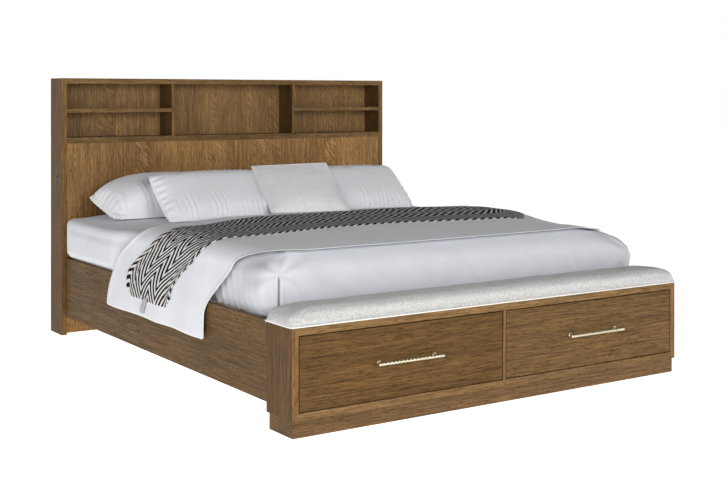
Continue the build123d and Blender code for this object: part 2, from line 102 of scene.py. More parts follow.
world = bpy.data.worlds.new("studio")
world.use_nodes = True
sky = world.node_tree
place = sky.nodes.new("ShaderNodeTexCoord")
height = sky.nodes.new("ShaderNodeSeparateXYZ")
fade = sky.nodes.new("ShaderNodeValToRGB")
for stop, (position, level) in zip(fade.color_ramp.elements, ((0.14, 1.0), (0.45, 0.04))):
    stop.position = position
    stop.color = (level, level, level, 1)
sky.links.new(place.outputs["Generated"], height.inputs[0])
sky.links.new(height.outputs[2], fade.inputs[0])
sky.links.new(fade.outputs[0], sky.nodes["Background"].inputs["Color"])
sky.nodes["Background"].inputs["Strength"].default_value = 1.0
scene.world = world


# ------------------------------------------------------------------ material helpers
def srgb(red, green, blue):
    """A display colour, 0 to 255, as linear red, green, blue and alpha."""
    return tuple((c / 255 / 12.92 if c / 255 <= 0.04045 else ((c / 255 + 0.055) / 1.055) ** 2.4)
                 for c in (red, green, blue)) + (1.0,)


class Surface:
    """A material under construction: each method adds a node and returns its output."""

    def __init__(self, name, roughness, **sockets):
        self.material = bpy.data.materials.new(name)
        self.material.use_nodes = True
        self.tree = self.material.node_tree
        self.shader = self.tree.nodes["Principled BSDF"]
        self.shader.inputs["Roughness"].default_value = roughness
        for socket, value in sockets.items():
            self.shader.inputs[socket.replace("_", " ")].default_value = value

    def node(self, kind, **settings):
        made = self.tree.nodes.new("ShaderNode" + kind)
        for key, value in settings.items():
            setattr(made, key, value)
        return made

    def feed(self, socket, value):
        """Link an output to a socket, or set a plain value on it."""
        if isinstance(value, bpy.types.NodeSocket):
            self.tree.links.new(value, socket)
        else:
            socket.default_value = value

    def coords(self, scale=(1, 1, 1), turn=(0, 0, 0), offset=(0, 0, 0), source="Object"):
        made = self.node("Mapping")
        made.inputs["Scale"].default_value = scale
        made.inputs["Rotation"].default_value = turn
        made.inputs["Location"].default_value = offset
        self.feed(made.inputs["Vector"], self.node("TexCoord").outputs[source])
        return made.outputs[0]

    def noise(self, vector, scale, detail=2.0, roughness=0.5, distortion=0.0):
        made = self.node("TexNoise")
        self.feed(made.inputs["Vector"], vector)
        made.inputs["Scale"].default_value = scale
        made.inputs["Detail"].default_value = detail
        made.inputs["Roughness"].default_value = roughness
        made.inputs["Distortion"].default_value = distortion
        return made.outputs["Fac"]

    def math(self, operation, first, second=0.0, third=0.0):
        made = self.node("Math", operation=operation)
        for socket, value in zip(made.inputs, (first, second, third)):
            self.feed(socket, value)
        return made.outputs[0]

    def ramp(self, fac, *stops):
        """Colour ramp with (position, colour) stops."""
        made = self.node("ValToRGB")
        elements = made.color_ramp.elements
        while len(elements) < len(stops):
            elements.new(0.5)
        for element, (position, colour) in zip(elements, stops):
            element.position = position
            element.color = colour
        self.feed(made.inputs[0], fac)
        return made.outputs[0]

    def mix(self, fac, first, second, mode="MIX"):
        made = self.node("Mix", data_type="RGBA", blend_type=mode)
        self.feed(made.inputs[0], fac)
        self.feed(made.inputs[6], first)
        self.feed(made.inputs[7], second)
        return made.outputs[2]

    def bump(self, height, distance, strength=1.0, under=None):
        made = self.node("Bump")
        made.inputs["Strength"].default_value = strength
        made.inputs["Distance"].default_value = distance
        self.feed(made.inputs["Height"], height)
        if under is not None:
            self.feed(made.inputs["Normal"], under)
        return made.outputs[0]

    def finish(self, colour, normal=None, roughness=None):
        self.feed(self.shader.inputs["Base Color"], colour)
        if normal is not None:
            self.feed(self.shader.inputs["Normal"], normal)
        if roughness is not None:
            self.feed(self.shader.inputs["Roughness"], roughness)
        return self.material


BLACK, WHITE = (0, 0, 0, 1), (1, 1, 1, 1)


def shade(colour, factor):
    """The same linear colour, lighter or darker."""
    return tuple(min(1, c * factor) for c in colour[:3]) + (1.0,)


def along(axis, length_scale):
    """Scale that stretches a pattern along one axis: 1 across it and length_scale along it."""
    return tuple(length_scale if i == axis else 1.0 for i in range(3))


# ------------------------------------------------------------------ wood
def oak(name, axis, mean, seed, figure=0.0, leaf=0.0, painted_front_light=1.0):
    """Open-grained brown oak. axis is the grain's, figure the strength of the ray flecks,
    leaf the width in metres of the veneer leaves laid side by side across X, and the last
    argument how much lighter the faces turned toward -Y are painted: painted light from the front."""
    s = Surface(name, 0.5, Specular_IOR_Level=0.10)
    offset = (seed * 1.7, seed * 2.3, seed * 3.1)
    place = s.coords(along(axis, 0.032), (0.016, 0.012, 0.010), offset)
    if leaf:
        split = s.node("SeparateXYZ")
        s.feed(split.inputs[0], s.node("TexCoord").outputs["Object"])
        index = s.math("FLOOR", s.math("DIVIDE", split.outputs[0], leaf))
        jump = s.node("TexWhiteNoise", noise_dimensions="1D")
        s.feed(jump.inputs["W"], index)
        shift = s.node("VectorMath", operation="MULTIPLY_ADD")
        s.feed(shift.inputs[0], jump.outputs["Color"])
        shift.inputs[1].default_value = (3.0, 0.0, 3.0)
        s.feed(shift.inputs[2], place)
        place = shift.outputs[0]
    bands = s.noise(place, 7.0, 3.0, 0.5, 0.2)
    streaks = s.noise(place, 120.0, 4.0, 0.65)
    fibres = s.noise(place, 300.0, 3.0, 0.7)
    tone = s.math("ADD", s.math("MULTIPLY", bands, 0.35), s.math("MULTIPLY", streaks, 0.65))
    colour = s.ramp(tone, (0.34, shade(mean, 0.58)), (0.45, shade(mean, 0.90)),
                    (0.54, shade(mean, 1.10)), (0.66, shade(mean, 1.50)))
    fine = s.ramp(fibres, (0.34, (0.55, 0.53, 0.50, 1)), (0.50, WHITE), (0.66, (1.30, 1.28, 1.24, 1)))
    colour = s.mix(0.9, colour, fine, "MULTIPLY")
    pores = s.noise(s.coords(along(axis, 0.11), (0.0, 0.0, 0.0), offset), 270.0, 2.0, 0.6)
    pore_mask = s.ramp(pores, (0.55, BLACK), (0.66, WHITE))
    colour = s.mix(s.math("MULTIPLY", pore_mask, 0.74), colour, shade(mean, 0.30))
    height = s.math("SUBTRACT", fibres, s.math("MULTIPLY", pore_mask, 0.8))
    if figure:
        slanted = s.node("Mapping", vector_type="TEXTURE")
        slanted.inputs["Rotation"].default_value = (0, 0.80, 0)
        slanted.inputs["Scale"].default_value = (0.062, 0.10, 0.0125)
        s.feed(slanted.inputs["Vector"], s.node("TexCoord").outputs["Object"])
        flecks = s.noise(slanted.outputs[0], 1.0, 3.0, 0.55, 0.7)
        patches = s.noise(s.coords((8.5, 1.0, 1.3), (0, 0, 0), offset), 1.0, 2.0)
        where = s.ramp(patches, (0.50, BLACK), (0.62, WHITE))
        light = s.math("MULTIPLY", s.ramp(flecks, (0.50, BLACK), (0.60, WHITE)), where)
        dark = s.math("MULTIPLY", s.ramp(flecks, (0.40, WHITE), (0.50, BLACK)), where)
        colour = s.mix(s.math("MULTIPLY", light, figure), colour, shade(mean, 1.9))
        colour = s.mix(s.math("MULTIPLY", dark, figure * 0.7), colour, shade(mean, 0.55))
    # painted light: faces turned toward -Y, the front, are made lighter than the rest of the board
    if painted_front_light != 1.0:
        facing = s.node("SeparateXYZ")
        s.feed(facing.inputs[0], s.node("NewGeometry").outputs["Normal"])
        front = s.ramp(s.math("MULTIPLY", facing.outputs[1], -1.0), (0.7, BLACK), (0.9, WHITE))
        colour = s.mix(front, colour, (painted_front_light,) * 3 + (1,), "MULTIPLY")
    if leaf:
        # the two leaves at the left end are darker
        colour = s.mix(s.math("LESS_THAN", index, -2.5), colour,
                       s.mix(1.0, colour, (0.76, 0.76, 0.78, 1), "MULTIPLY"))
    rough = s.ramp(streaks, (0.3, (0.58,) * 3 + (1,)), (0.7, (0.42,) * 3 + (1,)))
    return s.finish(colour, s.bump(height, 0.0006, 0.5), rough)


def plain_wood(name, axis, mean, seed):
    """Pale secondary wood: ply, pine slats and beams that show only from below or inside."""
    s = Surface(name, 0.62)
    place = s.coords(along(axis, 0.05), (0.02, 0.01, 0.0), (seed, seed * 2, seed * 3))
    rings = s.noise(place, 26.0, 4.0, 0.6, 1.2)
    fibres = s.noise(place, 300.0, 2.0)
    colour = s.ramp(rings, (0.32, shade(mean, 0.72)), (0.5, mean), (0.66, shade(mean, 1.18)))
    colour = s.mix(0.5, colour, s.ramp(fibres, (0.3, (0.8, 0.78, 0.74, 1)), (0.6, WHITE)), "MULTIPLY")
    return s.finish(colour, s.bump(fibres, 0.0004, 0.4))


X, Y, Z = 0, 1, 2
OAK_SIDE = srgb(106, 80, 46)
OAK_DARK = srgb(110, 84, 54)

wood = {
    "panel": oak("oak_panel", Z, srgb(158, 120, 75), 1.0, 0.65, 0.249),
    "shelf_back": oak("oak_shelf_back", Z, srgb(137, 106, 69), 2.0, 0.40, 0.33),
    "upright": oak("oak_upright", Z, srgb(96, 71, 41), 3.0, painted_front_light=1.75),
    "side_upright": oak("oak_side_upright", Z, srgb(99, 74, 42), 4.0, painted_front_light=1.45),
    "lateral": oak("oak_lateral", X, srgb(122, 94, 59), 5.0),
    "drawer_left": oak("oak_drawer_left", X, srgb(97, 71, 38), 6.0),
    "drawer_right": oak("oak_drawer_right", X, srgb(110, 83, 49), 7.0),
    "rail": oak("oak_rail", Y, OAK_SIDE, 8.0),
    "plinth": oak("oak_plinth", X, OAK_DARK, 9.0),
    "ply": plain_wood("birch_ply", Y, srgb(214, 190, 150), 1.0),
    "pine": plain_wood("planed_pine", X, srgb(212, 184, 138), 2.0),
    "beam": plain_wood("pine_beam", Y, srgb(205, 176, 130), 3.0),
}
WOOD_OF = {
    "headboard_front_panel": "panel", "bookcase_back_panel": "shelf_back",
    "headboard_side_left": "side_upright", "headboard_side_right": "side_upright",
    "headboard_top_panel": "lateral", "bookcase_floor": "lateral",
    "bookcase_divider_left": "upright", "bookcase_divider_right": "upright",
    "bookcase_shelf_left": "lateral", "bookcase_shelf_right": "lateral",
    "side_rail_left": "rail", "side_rail_right": "rail",
    "foot_side_left": "upright", "foot_side_right": "upright",
    "foot_top_panel": "lateral", "foot_bottom_panel": "lateral",
    "foot_center_divider": "upright", "foot_plinth": "plinth",
    "left_drawer_front": "drawer_left", "right_drawer_front": "drawer_right",
    "headboard_rear_panel": "pine", "headboard_stretchers": "pine", "slats": "pine",
    "drawer_housing_rear_rail": "pine", "slat_ledges": "beam", "center_beam": "beam",
    "center_legs": "beam", "drawer_housing_sides": "ply",
    "left_drawer_box_sides": "ply", "right_drawer_box_sides": "ply",
    "left_drawer_box_ends": "pine", "right_drawer_box_ends": "pine",
    "left_drawer_bottom": "pine", "right_drawer_bottom": "pine",
}


# ------------------------------------------------------------------ metal and plastic
def brushed(name, mean, roughness, seed):
    """Satin metal with fine scratches and a faint cloudy tone."""
    s = Surface(name, roughness, Metallic=1.0)
    clouds = s.noise(s.coords(), 40.0, 3.0)
    lines = s.noise(s.coords((30, 1, 30), (0, 0, 0), (seed, 0, 0)), 60.0, 2.0)
    colour = s.mix(clouds, shade(mean, 0.86), shade(mean, 1.1))
    rough = s.math("ADD", s.math("MULTIPLY", lines, 0.14), roughness - 0.07)
    return s.finish(colour, s.bump(lines, 0.0001, 0.25), rough)


def moulded(name, mean, roughness):
    """Moulded plastic with a fine spark-eroded grain."""
    s = Surface(name, roughness)
    grain = s.noise(s.coords(), 900.0, 2.0)
    dust = s.noise(s.coords(), 30.0, 3.0)
    return s.finish(s.mix(dust, shade(mean, 0.8), shade(mean, 1.35)), s.bump(grain, 0.0002, 0.4))


brass = brushed("champagne_brass", srgb(226, 216, 190), 0.30, 1.0)
steel = brushed("zinc_steel", srgb(178, 180, 184), 0.34, 2.0)
black = moulded("black_plastic", srgb(26, 26, 27), 0.45)
glide = moulded("glide_plastic", srgb(48, 48, 50), 0.4)


# ------------------------------------------------------------------ cloth materials
def cotton(name, mean, seed, crease=0.5, sheen=0.25):
    """Smooth bed cotton: soft cloudy tone, faint creases and a very fine weave."""
    s = Surface(name, 0.88, Sheen_Weight=sheen, Sheen_Roughness=0.5)
    clouds = s.noise(s.coords(offset=(seed, seed, 0)), 7.0, 3.0)
    colour = s.ramp(clouds, (0.3, shade(mean, 0.955)), (0.7, shade(mean, 1.03)))
    threads = s.math("ADD", s.noise(s.coords((1, 12, 1), offset=(seed, 0, 0)), 260.0, 1.0),
                     s.noise(s.coords((12, 1, 12), offset=(0, seed, 0)), 260.0, 1.0))
    creases = s.noise(s.coords((1.0, 1.6, 1.2), (0.3, 0.2, 0.5), (seed, 0, seed)), 16.0, 4.0, 0.55, 0.8)
    colour = s.mix(0.10, colour, s.ramp(threads, (0.35, shade(mean, 0.8)), (0.65, shade(mean, 1.1))))
    return s.finish(colour, s.bump(threads, 0.0003, 0.3, s.bump(creases, 0.004, crease)))


def boucle(name, mean):
    """Looped cream yarn: lumpy loops, painted shade in the gaps between them and flecks of grey."""
    s = Surface(name, 0.95, Sheen_Weight=0.35, Sheen_Roughness=0.6)
    cells = s.node("TexVoronoi", feature="SMOOTH_F1")
    s.feed(cells.inputs["Vector"], s.coords((1, 1, 1.25)))
    cells.inputs["Scale"].default_value = 240.0
    cells.inputs["Smoothness"].default_value = 0.6
    loops = cells.outputs["Distance"]
    curls = s.noise(s.coords(), 420.0, 3.0, 0.6, 1.4)
    tone = s.noise(s.coords(), 85.0, 3.0, 0.6)
    colour = s.ramp(tone, (0.34, shade(mean, 0.88)), (0.5, mean), (0.68, shade(mean, 1.10)))
    # painted shade: the colour is darkened in the gaps between the loops
    painted_gap_shade = s.ramp(loops, (0.35, WHITE), (0.75, (0.68, 0.67, 0.65, 1)))
    colour = s.mix(0.75, colour, painted_gap_shade, "MULTIPLY")
    height = s.math("SUBTRACT", s.math("MULTIPLY", curls, 0.7), loops)
    return s.finish(colour, s.bump(height, 0.004, 0.8))


def velvet(name, mean):
    """Crushed pale velvet: cloudy veins where the pile lies in different directions."""
    s = Surface(name, 0.7, Sheen_Weight=1.0, Sheen_Roughness=0.5)
    warp = s.noise(s.coords(), 9.0, 4.0, 0.6, 0.8)
    veins = s.noise(s.coords((1, 1, 1), (0.4, 0.1, 0.7)), 13.0, 8.0, 0.68, 0.35)
    mask = s.math("ABSOLUTE", s.math("SUBTRACT", veins, 0.5))
    colour = s.ramp(mask, (0.0, shade(mean, 0.90)), (0.025, shade(mean, 0.99)),
                    (0.06, shade(mean, 1.08)))
    colour = s.mix(s.math("MULTIPLY", warp, 0.2), colour, shade(mean, 0.94))
    pile = s.noise(s.coords(), 700.0, 2.0)
    return s.finish(colour, s.bump(pile, 0.0004, 0.35, s.bump(veins, 0.002, 0.3)))


def herringbone(name):
    """Black and white wool in zigzag bands that run along the throw, read from its own
    flat measures in metres: U along the throw and V across it."""
    s = Surface(name, 0.95, Specular_IOR_Level=0.2)
    split = s.node("SeparateXYZ")
    s.feed(split.inputs[0], s.node("TexCoord").outputs["UV"])
    wobble = s.noise(s.coords((1, 1, 1), source="UV"), 9.0, 2.0)
    run = s.math("ADD", split.outputs[0], s.math("MULTIPLY", wobble, 0.010))
    cross = s.math("ADD", split.outputs[1], s.math("MULTIPLY", wobble, 0.006))
    yarn = s.noise(s.coords((1, 1, 1), source="UV"), 240.0, 2.0, 0.7)
    fuzz = s.math("SUBTRACT", yarn, 0.5)

    def zigzag(column, pitch, ragged):
        """Slanting strokes that turn back at every column: black is 0 and white is 1."""
        saw = s.math("PINGPONG", cross, column)
        phase = s.math("DIVIDE", s.math("MULTIPLY_ADD", saw, 1.2, run), pitch)
        wave = s.math("SINE", s.math("MULTIPLY", phase, 2 * math.pi))
        return wave, s.math("MULTIPLY_ADD", s.math("MULTIPLY_ADD", fuzz, ragged, wave), 0.5, 0.5)

    bold_wave, bold = zigzag(0.098, 0.043, 0.8)
    fine = zigzag(0.062, 0.036, 1.2)[1]
    bold = s.ramp(bold, (0.56, BLACK), (0.63, WHITE))
    fine = s.ramp(fine, (0.53, (0.02, 0.02, 0.02, 1)), (0.66, (0.95, 0.95, 0.95, 1)))
    out = s.math("ABSOLUTE", cross)
    side = s.math("MULTIPLY", s.ramp(out, (0.190, BLACK), (0.202, WHITE)),
                  s.ramp(out, (0.244, WHITE), (0.256, BLACK)))
    strokes = s.mix(side, bold, fine)
    colour = s.mix(strokes, srgb(16, 15, 17), srgb(232, 228, 226))
    height = s.math("MULTIPLY_ADD", bold_wave, 0.5, yarn)
    return s.finish(colour, s.bump(height, 0.0022, 0.7))


cloth = {
    "sheet": cotton("fitted_sheet_cotton", srgb(221, 223, 228), 1.0, 0.30),
    "duvet": cotton("duvet_cotton", srgb(204, 206, 211), 2.0, 0.45),
    "cover": cotton("coverlet_cotton", srgb(228, 229, 233), 3.0, 0.22),
    "pillow": cotton("pillow_cotton", srgb(245, 247, 251), 4.0, 0.45),
    "velvet": velvet("accent_velvet", srgb(253, 254, 255)),
    "boucle": boucle("bench_boucle", srgb(222, 220, 218)),
    # the tab's grey colour is painted shade on pale cloth
    "tab": cotton("tab_cloth_painted_grey", srgb(176, 177, 181), 5.0, 0.3),
    "piping": cotton("piping_cotton", srgb(240, 238, 232), 6.0, 0.1),
    "herringbone": herringbone("herringbone_wool"),
}


# ------------------------------------------------------------------ dressing the CAD nodes
def dress(node_name, material):
    """Give a CAD node its one finished material."""
    mesh = nodes[node_name].data
    mesh.materials.clear()
    mesh.materials.append(material)


def ease_edges(node_name, width):
    """Soften a board's arrises, as sanding does."""
    bevel = nodes[node_name].modifiers.new("eased_edges", "BEVEL")
    bevel.width = width
    bevel.segments = 2
    bevel.limit_method = "ANGLE"
    bevel.angle_limit = math.radians(40)
    bevel.harden_normals = False


for node_name in nodes:
    if node_name in WOOD_OF:
        dress(node_name, wood[WOOD_OF[node_name]])
        ease_edges(node_name, 0.0009)
    elif "pull_" in node_name:
        dress(node_name, brass)
    elif "slide" in node_name or node_name in ("rail_brackets", "rail_bolts", "shelf_pins"):
        dress(node_name, steel)
    elif node_name in ("shelf_power_modules", "side_charging_strips", "power_inlet"):
        dress(node_name, black)
    elif node_name == "leg_glides":
        dress(node_name, glide)


# ------------------------------------------------------------------ mesh helpers
def mesh_object(name, points, faces, material, smooth=True):
    """A new object from points and faces, with one material."""
    mesh = bpy.data.meshes.new(name)
    mesh.from_pydata([tuple(p) for p in points], [], faces)
    mesh.update()
    if smooth:
        mesh.shade_smooth()
    mesh.materials.append(material)
    made = bpy.data.objects.new(name, mesh)
    scene.collection.objects.link(made)
    return made


def apply_modifiers(obj):
    """Keep the object's shape as its modifiers leave it, and drop them."""
    depsgraph = bpy.context.evaluated_depsgraph_get()
    final = bpy.data.meshes.new_from_object(obj.evaluated_get(depsgraph))
    obj.modifiers.clear()
    obj.data = final
    obj.data.shade_smooth()


def subdivide(obj, levels=1):
    """Add and apply a smooth subdivision."""
    modifier = obj.modifiers.new("smooth", "SUBSURF")
    modifier.levels = modifier.render_levels = levels
    apply_modifiers(obj)


def points_of(obj):
    """The vertices' places, one row each."""
    co = np.empty(len(obj.data.vertices) * 3, np.float32)
    obj.data.vertices.foreach_get("co", co)
    return co.reshape(-1, 3).astype(float)


def put_points(obj, co):
    obj.data.vertices.foreach_set("co", co.astype(np.float32).ravel())
    obj.data.update()


def normals_of(obj):
    no = np.empty(len(obj.data.vertices) * 3, np.float32)
    obj.data.vertex_normals.foreach_get("vector", no)
    return no.reshape(-1, 3).astype(float)


def box_lattice(nx, ny, nz):
    """Whole-number lattice over a box's six faces: its points and its quads, facing out."""
    index, faces = {}, []

    def key(i, j, k):
        return index.setdefault((i, j, k), len(index))

    def face(corners, flip):
        quad = [key(*c) for c in corners]
        faces.append(quad[::-1] if flip else quad)

    for i in range(nx):
        for j in range(ny):
            for k, flip in ((0, True), (nz, False)):
                face(((i, j, k), (i + 1, j, k), (i + 1, j + 1, k), (i, j + 1, k)), flip)
    for i in range(nx):
        for k in range(nz):
            for j, flip in ((0, False), (ny, True)):
                face(((i, j, k), (i + 1, j, k), (i + 1, j, k + 1), (i, j, k + 1)), flip)
    for j in range(ny):
        for k in range(nz):
            for i, flip in ((0, True), (nx, False)):
                face(((i, j, k), (i, j + 1, k), (i, j + 1, k + 1), (i, j, k + 1)), flip)
    return np.array(list(index), float), faces


def smooth_noise(co, scale, seed, octaves=2):
    """Soft noise from -1 to 1 at each point, the same on every run."""
    shift = Vector((seed * 3.7, seed * 5.1, seed * 7.3))
    return np.array([noise.fractal(Vector(p) * scale + shift, 0.6, 2.0, octaves) for p in co])


def bell(x, centre, width):
    """A smooth hump of height 1."""
    return np.exp(-((x - centre) / width) ** 2)


def step(x, low, high):
    """Smooth rise from 0 at low to 1 at high."""
    t = np.clip((x - low) / (high - low), 0, 1)
    return t * t * (3 - 2 * t)


# ------------------------------------------------------------------ cloth simulation
def blow_up(objects, frames, pressure, mass=0.05, tension=12.0, bending=0.4, cap=None):
    """Simulate closed cloth forms together under inner pressure and keep the result.
    cap is the furthest that a point may end up from where it started."""
    before = [points_of(obj) for obj in objects]
    for obj in objects:
        made = obj.modifiers.new("cloth", "CLOTH")
        made.settings.quality = 5
        made.settings.mass = mass
        made.settings.tension_stiffness = made.settings.compression_stiffness = tension
        made.settings.shear_stiffness = tension * 0.5
        made.settings.bending_stiffness = bending
        made.settings.use_pressure = True
        made.settings.uniform_pressure_force = pressure
        made.settings.effector_weights.gravity = 0
        made.collision_settings.use_collision = False
        made.point_cache.frame_start, made.point_cache.frame_end = 1, frames
    for frame_number in range(1, frames + 1):
        scene.frame_set(frame_number)
    for obj, start in zip(objects, before):
        apply_modifiers(obj)
        if cap is not None:
            moved = points_of(obj) - start
            length = np.linalg.norm(moved, axis=1, keepdims=True)
            put_points(obj, start + moved * np.minimum(1, cap / np.maximum(length, 1e-9)))
    scene.frame_set(1)


def fit(co, low, high):
    """Scale points to fill a box, above and below the seam's plane z = 0 separately."""
    sizes = co.max(0) - co.min(0)
    middle = (co.max(0) + co.min(0)) / 2
    out = co.copy()
    for axis in (X, Y):
        out[:, axis] = (co[:, axis] - middle[axis]) / sizes[axis] * (high[axis] - low[axis])
    z = co[:, Z] - middle[Z]
    out[:, Z] = np.where(z > 0, z / z.max() * high[2], z / -z.min() * -low[2])
    return out


# ------------------------------------------------------------------ pillows
PILLOWS = (  # name, node, centre, lean, yaw, width, length, below, above, seed
    ("velvet_cushion", "accent_cushion", (0.028, 1.600, 0.768), 33, -12, 0.430, 0.430, 0.022, 0.050, 5),
    ("bed_pillow_front_left", "pillow_front_left", (-0.402, 1.680, 0.736), 41, 0,
     0.69, 0.34, 0.055, 0.070, 3),
    ("bed_pillow_front_right", "pillow_front_right", (0.402, 1.680, 0.736), 41, 0,
     0.69, 0.34, 0.055, 0.070, 4),
    ("bed_pillow_back_left", "pillow_back_left", (-0.560, 1.985, 0.692), 14, 0,
     0.71, 0.39, 0.055, 0.140, 1),
    ("bed_pillow_back_right", "pillow_back_right", (0.560, 1.985, 0.692), 14, 0,
     0.71, 0.39, 0.055, 0.140, 2),
)


def stuffed_bag(name, width, length, below, above, square, material, seed):
    """Two panels sewn together at a sharp seam and filled: a lens over a soft rectangle."""
    cell = 0.0095
    counts = (round(width / cell), round(length / cell), 1)
    lattice, faces = box_lattice(*counts)
    co = lattice / np.array(counts) * 2 - 1
    a, b, face = abs(co[:, 0]), abs(co[:, 1]), co[:, 2]
    power = 2.2 if square else 2.8
    height = ((1 - a ** power) * (1 - b ** power)) ** (0.62 if square else 0.50)
    corner = 0.012 if square else 0.035
    co[:, 0] *= (1 - 0.016 * b ** 2 * (0 if square else 1) - corner * b ** 8 * a ** 3) * width / 2
    co[:, 1] *= (1 - 0.030 * a ** 2 * (0 if square else 1) - corner * a ** 8 * b ** 3) * length / 2
    co[:, 2] = face * (0.0015 + height * np.where(face > 0, above, below))
    lumps = smooth_noise(co * (1, 1, 0.4), 7.0, seed, 3)
    co[:, 2] += face * height * 0.005 * lumps
    return mesh_object(name, co, faces, material)


bags = []
for name, node, _, _, _, width, length, below, above, seed in PILLOWS:
    square = node == "accent_cushion"
    bags.append(stuffed_bag(name, width, length, below, above, square,
                            cloth["velvet" if square else "pillow"], seed))
blow_up(bags, 14, 6.0, cap=0.010)


def soft_floor(z, level, softness):
    """Heights kept above a level, with a rounded heel where they meet it."""
    return level + np.where(z > level + softness, z - level,
                            (np.maximum(z - level + softness, 0) ** 2) / (4 * softness))


cushions_in_front = []
for bag, (name, node, centre, lean, yaw, width, length, below, above, seed) in zip(bags, PILLOWS):
    subdivide(bag)
    square = node == "accent_cushion"
    co = fit(points_of(bag), (-width / 2, -length / 2, -below), (width / 2, length / 2, above))
    edge_x, edge_y = width / 2 - abs(co[:, 0]), length / 2 - abs(co[:, 1])
    strength = 0.0005 if square else 0.0042
    wander = smooth_noise(co, 6.0, seed)
    # puckers that run in from the seams, longest up from the lower edge
    reach = np.where(co[:, 1] < 0, 0.085, 0.028)
    puckers = (0.7 * bell(edge_x, 0.016, 0.026) * np.sin(co[:, 1] * 150 + 2 * wander)
               + bell(edge_y, 0.016, reach) * np.sin(co[:, 0] * 200 + co[:, 1] * 30 + 4 * wander)
               * step(smooth_noise(co * (1, 0.3, 0.3), 9.0, seed + 9), -0.5, 0.3))
    co[:, 2] += np.sign(co[:, 2]) * strength * puckers * np.minimum(1, abs(co[:, 2]) / 0.010)
    if not square:
        # the case's stitched hem along the lower edge
        co[:, 2] += np.sign(co[:, 2]) * -0.0035 * bell(edge_y, 0.026, 0.007) * (co[:, 1] < 0)
    else:
        # one upper corner droops
        co[:, 1] -= CUSHION_DROOP * (0.5 - co[:, 0] / width) * (0.5 + co[:, 1] / length)
    turn = Matrix.Rotation(math.radians(yaw), 4, "Z") @ Matrix.Rotation(math.radians(lean), 4, "X")
    place = Matrix.Translation(Vector((centre[0], foot_front + centre[1], centre[2]))) @ turn
    spin, shift = np.array(place.to_3x3()), np.array(place.translation)
    co = co @ spin.T + shift
    for front_spin, front_shift, half_x, half_y, thick in cushions_in_front:
        # the cushion in front presses its shape into this one
        local = (co - front_shift) @ front_spin
        u, v = np.abs(local[:, 0]) / half_x, np.abs(local[:, 1]) / half_y
        inside = np.maximum(1 - u ** 2.4, 0) * np.maximum(1 - v ** 2.4, 0)
        ceiling = -thick * inside ** 0.5 - 0.003
        over = local[:, 2] - ceiling
        reach_in = step(1.16 - np.maximum(u, v), 0.0, 0.16)
        push = np.where(over > -0.012, (over + 0.012) ** 2 / 0.048, 0)
        push = np.where(over > 0.012, over, push) * reach_in
        local[:, 2] -= push
        co = local @ front_spin.T + front_shift
    cushions_in_front.append((spin, shift, width / 2, length / 2, below))
    level = np.where(co[:, 1] < foot_front + COVER_HEAD_LINE, COVER_TOP, sheet_high.z + 0.0035)
    co[:, 2] = soft_floor(co[:, 2], level, 0.010)
    put_points(bag, co)
    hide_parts(node)
    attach(bag, "bed_frame")


# ------------------------------------------------------------------ mattress and duvet
def rounded_block(name, low, high, cell, radius_of, material, keep=lambda quad: True,
                  core_low_z=None, wide=1.0):
    """A box of even cells, rounded by a radius that may change from place to place.
    wide makes the rounding wider across the bed than it is high."""
    size = np.array(high) - np.array(low)
    counts = tuple(max(2, round(s / cell)) for s in size)
    lattice, faces = box_lattice(*counts)
    spread = np.array(low) + lattice / np.array(counts) * size
    radius = radius_of(spread)[:, None]
    core_low = np.array(low, float)
    if core_low_z is not None:
        core_low[2] = core_low_z
    squeeze = np.array((1 / wide, 1, 1))
    core = np.clip(spread * squeeze, core_low * squeeze + radius, np.array(high) * squeeze - radius)
    away = spread * squeeze - core
    length = np.linalg.norm(away, axis=1, keepdims=True)
    co = np.where(length > 1e-9, (core + away / np.maximum(length, 1e-9) * radius) / squeeze, spread)
    faces = [quad for quad in faces if keep(lattice[quad] / np.array(counts))]
    return mesh_object(name, co, faces, material)


mattress_low, mattress_high = np.array(sheet_low), np.array(sheet_high)


def mattress_radius(co):
    """Tight corners at the headboard, rounder at the foot, under the duvet."""
    return 0.120 - 0.084 * step(co[:, 1], -0.8, 0.2)


mattress = rounded_block("fitted_mattress", mattress_low, mattress_high, 0.018,
                         mattress_radius, cloth["sheet"])
blow_up([mattress], 10, 2.0, mass=0.2, cap=0.004)
put_points(mattress, points_of(mattress) - normals_of(mattress) * (
    0.004 + 0.0025 * smooth_noise(points_of(mattress), 5.0, 11, 3)[:, None]))
co = points_of(mattress)
bulge = step(co[:, 1], 0.29, 0.46) * step(co[:, 2], 0.380, 0.430)
co[:, 0] += np.sign(co[:, 0]) * SHEET_BULGE * bulge * step(abs(co[:, 0]), 0.70, 0.93)
co[:, 2] -= SHEET_SHOULDER_SAG * step(abs(co[:, 0]), 0.74, 0.98) * step(co[:, 2], 0.52, 0.60)
put_points(mattress, co)
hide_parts("mattress")
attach(mattress, "bed_frame")

duvet_lo, duvet_hi = np.array(duvet_low), np.array(duvet_high)
duvet = rounded_block(
    "bed_duvet", duvet_lo - (0, 0, 0.014), duvet_hi, DUVET_CELL,
    lambda co: np.full(len(co), DUVET_RADIUS), cloth["duvet"],
    keep=lambda quad: not (quad[:, 2].max() == 0 or quad[:, 1].min() == 1),
    core_low_z=0.2, wide=DUVET_WIDENING)


def right_drop(x, y):
    """How far the bedding's right shoulder lies below the left one, near the foot."""
    return RIGHT_SHOULDER_DROP * step(x, 0.60, 0.92) * (1 - step(y - foot_front, 0.60, 1.00))


def pleat_side(x, y):
    """Distance along the duvet's face from the pleat at the nearer foot corner."""
    return (abs(x) - PLEAT_X) * 0.83 + (y - foot_front - PLEAT_Y) * 0.555


